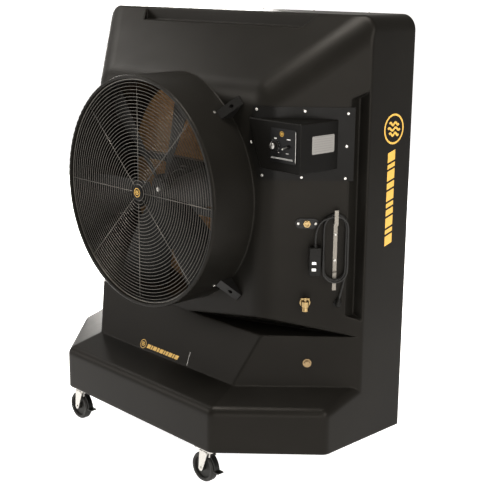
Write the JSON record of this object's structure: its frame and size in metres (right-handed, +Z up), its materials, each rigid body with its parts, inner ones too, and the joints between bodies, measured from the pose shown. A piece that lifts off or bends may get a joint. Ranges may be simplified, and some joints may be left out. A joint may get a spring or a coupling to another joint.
{
  "type": "portable evaporative cooler",
  "caption": "Wheeled evaporative cooler with a round guarded fan, moulded tank body, rear wet pads, control box, hose valve and wrapped power cord.",
  "frame": {"origin": "on the floor under the middle of the machine's overall width and depth", "axes": "+Z up, -Y is the front that the air blows out of, +X is to the right as seen from the front"},
  "size_m": [1.628, 0.798, 1.864],
  "materials": {
    "shell": "satin",
    "guard_wire": "satin",
    "black_metal": "satin",
    "gold_badge": "gloss",
    "fan_black": "satin",
    "galvanised": "satin",
    "zinc_steel": "satin",
    "aluminium": "satin",
    "cellulose": "matt",
    "grey_plastic": "satin",
    "white_plastic": "satin",
    "black_plastic": "satin",
    "brass": "satin",
    "label_white": "gloss",
    "cord_rubber": "satin",
    "tyre": "matt"
  },
  "bodies": {
    "base": {"housing": "shell", "front_guard": "guard_wire", "hub_badge": "gold_badge", "guard_clips": "black_metal", "case_screws": "zinc_steel", "fan_venturi": "black_metal", "motor": "black_metal", "motor_mount": "black_metal", "pad_tray": "galvanised", "media_frame": "black_plastic", "inlet_screen": "black_metal", "frame_screws": "zinc_steel", "water_header": "white_plastic", "drip_channel": "galvanised", "riser_hose": "grey_plastic", "pump_body": "grey_plastic", "pump_screen": "grey_plastic", "float_valve": "brass", "control_cover": "shell", "control_panel": "black_plastic", "rating_plate": "label_white", "speed_drive": "galvanised", "inlet_flange": "black_metal", "inlet_fitting": "brass", "hose_valve": "brass", "drain_plug": "brass", "cord_wrap": "aluminium", "cord_gland": "black_plastic", "cord_coil": "cord_rubber", "plug_body": "black_plastic", "plug_blades": "zinc_steel", "cord_lead": "cord_rubber", "cord_tail": "cord_rubber", "caster_plates": "zinc_steel", "media_pad_1": "cellulose", "media_pad_2": "cellulose", "media_pad_3": "cellulose", "media_pad_4": "cellulose", "media_pad_5": "cellulose"},
    "fan_rotor": {"fan_hub": "black_metal", "fan_blades": "fan_black", "motor_shaft": "zinc_steel"},
    "pump_rotor": {"pump_impeller": "white_plastic"},
    "float_lever": {"float_arm": "brass", "float_ball": "white_plastic"},
    "speed_knob": {"speed_knob": "black_plastic"},
    "pump_switch": {"pump_switch": "zinc_steel"},
    "test_button": {"test_button": "white_plastic"},
    "reset_button": {"reset_button": "white_plastic"},
    "valve_handle": {"valve_handle": "brass"},
    "swivel_1": {"caster_fork_1": "zinc_steel"},
    "wheel_1": {"caster_wheel_1": "tyre"},
    "swivel_2": {"caster_fork_2": "zinc_steel"},
    "wheel_2": {"caster_wheel_2": "tyre"},
    "swivel_3": {"caster_fork_3": "zinc_steel"},
    "wheel_3": {"caster_wheel_3": "tyre"},
    "swivel_4": {"caster_fork_4": "zinc_steel"},
    "wheel_4": {"caster_wheel_4": "tyre"},
    "brake_1": {"caster_brake_1": "black_metal"},
    "brake_2": {"caster_brake_2": "black_metal"}
  },
  "joints": [
    {"name": "fan_spin", "type": "hinge", "parent": "base", "child": "fan_rotor", "pos_m": [0, -0.22, 1.134], "axis": [0, 1, 0], "continuous": true},
    {"name": "pump_spin", "type": "hinge", "parent": "base", "child": "pump_rotor", "pos_m": [0.6, 0.19, 0.204], "axis": [0, 0, 1], "continuous": true},
    {"name": "float_swing", "type": "hinge", "parent": "base", "child": "float_lever", "pos_m": [0.61771, -0.00624, 0.534], "axis": [0.7071, 0.7071, 0], "range_deg": [0, 30]},
    {"name": "speed_turn", "type": "hinge", "parent": "base", "child": "speed_knob", "pos_m": [0.602, -0.18, 1.381], "axis": [0, -1, 0], "range_deg": [-135, 135]},
    {"name": "switch_flip", "type": "hinge", "parent": "base", "child": "pump_switch", "pos_m": [0.667, -0.177, 1.382], "axis": [-1, 0, 0], "range_deg": [0, 28]},
    {"name": "test_press", "type": "slide", "parent": "base", "child": "test_button", "axis": [-0.7071, 0.7071, 0], "range_m": [0, 0.0015], "stiffness_N_per_m": 400, "springref_m": -0.0005},
    {"name": "reset_press", "type": "slide", "parent": "base", "child": "reset_button", "axis": [-0.7071, 0.7071, 0], "range_m": [0, 0.0015], "stiffness_N_per_m": 400, "springref_m": -0.0005},
    {"name": "valve_turn", "type": "hinge", "parent": "base", "child": "valve_handle", "pos_m": [0.67569, -0.06422, 0.774], "axis": [0, 0, 1], "range_deg": [0, 90]},
    {"name": "swivel_turn_1", "type": "hinge", "parent": "base", "child": "swivel_1", "pos_m": [-0.433, -0.359, 0.139], "axis": [0, 0, 1], "continuous": true},
    {"name": "wheel_roll_1", "type": "hinge", "parent": "swivel_1", "child": "wheel_1", "pos_m": [-0.451, -0.359, 0.0625], "axis": [0, 1, 0], "continuous": true},
    {"name": "brake_press_1", "type": "hinge", "parent": "swivel_1", "child": "brake_1", "pos_m": [-0.411, -0.359, 0.126], "axis": [0, 1, 0], "range_deg": [0, 4.5]},
    {"name": "swivel_turn_2", "type": "hinge", "parent": "base", "child": "swivel_2", "pos_m": [0.433, -0.359, 0.139], "axis": [0, 0, 1], "continuous": true},
    {"name": "wheel_roll_2", "type": "hinge", "parent": "swivel_2", "child": "wheel_2", "pos_m": [0.415, -0.359, 0.0625], "axis": [0, 1, 0], "continuous": true},
    {"name": "brake_press_2", "type": "hinge", "parent": "swivel_2", "child": "brake_2", "pos_m": [0.455, -0.359, 0.126], "axis": [0, 1, 0], "range_deg": [0, 4.5]},
    {"name": "swivel_turn_3", "type": "hinge", "parent": "base", "child": "swivel_3", "pos_m": [-0.433, 0.29, 0.139], "axis": [0, 0, 1], "continuous": true},
    {"name": "wheel_roll_3", "type": "hinge", "parent": "swivel_3", "child": "wheel_3", "pos_m": [-0.451, 0.29, 0.0625], "axis": [0, 1, 0], "continuous": true},
    {"name": "swivel_turn_4", "type": "hinge", "parent": "base", "child": "swivel_4", "pos_m": [0.433, 0.29, 0.139], "axis": [0, 0, 1], "continuous": true},
    {"name": "wheel_roll_4", "type": "hinge", "parent": "swivel_4", "child": "wheel_4", "pos_m": [0.415, 0.29, 0.0625], "axis": [0, 1, 0], "continuous": true}
  ]
}
